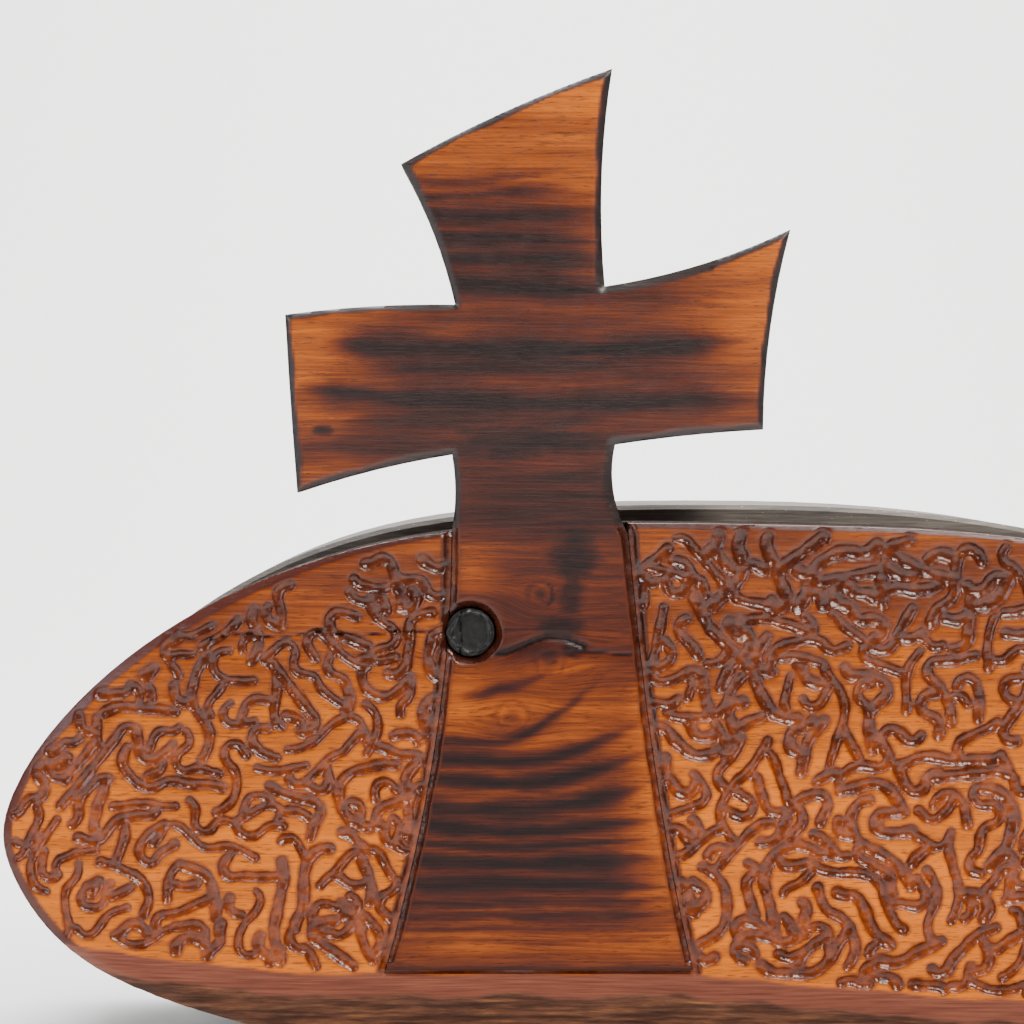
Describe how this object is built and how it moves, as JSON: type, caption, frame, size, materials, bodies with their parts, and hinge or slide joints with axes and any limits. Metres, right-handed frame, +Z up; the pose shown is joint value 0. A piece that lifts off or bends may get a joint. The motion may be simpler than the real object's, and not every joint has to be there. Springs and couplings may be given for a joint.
{
  "type": "wooden puzzle box",
  "caption": "Live-edge wooden puzzle box with a worm-carved swinging front, a lift-out cross key, a push-in knot and a hidden rear drawer.",
  "frame": {"origin": "middle of the footprint, on the surface that the box stands on", "axes": "+Z up, the carved front faces -Y, +X to the right as seen from the front"},
  "size_m": [0.33, 0.073, 0.2187],
  "materials": {
    "torched_pine": "torched and brushed, satin lacquer",
    "charred_knot": "charred, matte",
    "walnut": "planed, oiled",
    "beech": "turned, bare",
    "maple": "planed, waxed",
    "felt": "wool felt",
    "brass": "turned",
    "steel": "turned",
    "nickel_magnet": "nickel plated",
    "nylon": "moulded"
  },
  "bodies": {
    "base": {"box_body": "walnut", "bay_panel": "walnut", "back_panel": "walnut", "back_dowels": "beech", "pivot_bush": "brass", "pivot_washer": "nylon", "stop_dowel": "beech", "body_magnet": "nickel_magnet", "left_liner": "felt", "right_liner": "felt", "drawer_stop_pin": "steel"},
    "front": {"front_slab": "torched_pine", "slot_magnets": "nickel_magnet", "slab_magnet": "nickel_magnet", "pivot_bolt": "steel"},
    "key": {"cross_key": "torched_pine", "key_magnets": "nickel_magnet"},
    "knot": {"knot_peg": "charred_knot", "knot_core": "steel"},
    "drawer": {"drawer_face": "walnut", "drawer_left_side": "maple", "drawer_right_side": "maple", "drawer_end": "maple", "drawer_floor": "maple", "drawer_liner": "felt"}
  },
  "joints": [
    {"name": "front_swing", "type": "hinge", "parent": "base", "child": "front", "pos_m": [0.14, 0, 0.05], "axis": [0, 1, 0], "range_deg": [0, 80]},
    {"name": "cross_pull", "type": "slide", "parent": "front", "child": "key", "axis": [0, -1, 0], "range_m": [0, 0.04]},
    {"name": "knot_push", "type": "slide", "parent": "front", "child": "knot", "axis": [0, 1, 0], "range_m": [0, 0.012]},
    {"name": "secret_drawer", "type": "slide", "parent": "base", "child": "drawer", "axis": [0, 1, 0], "range_m": [0, 0.024]}
  ]
}
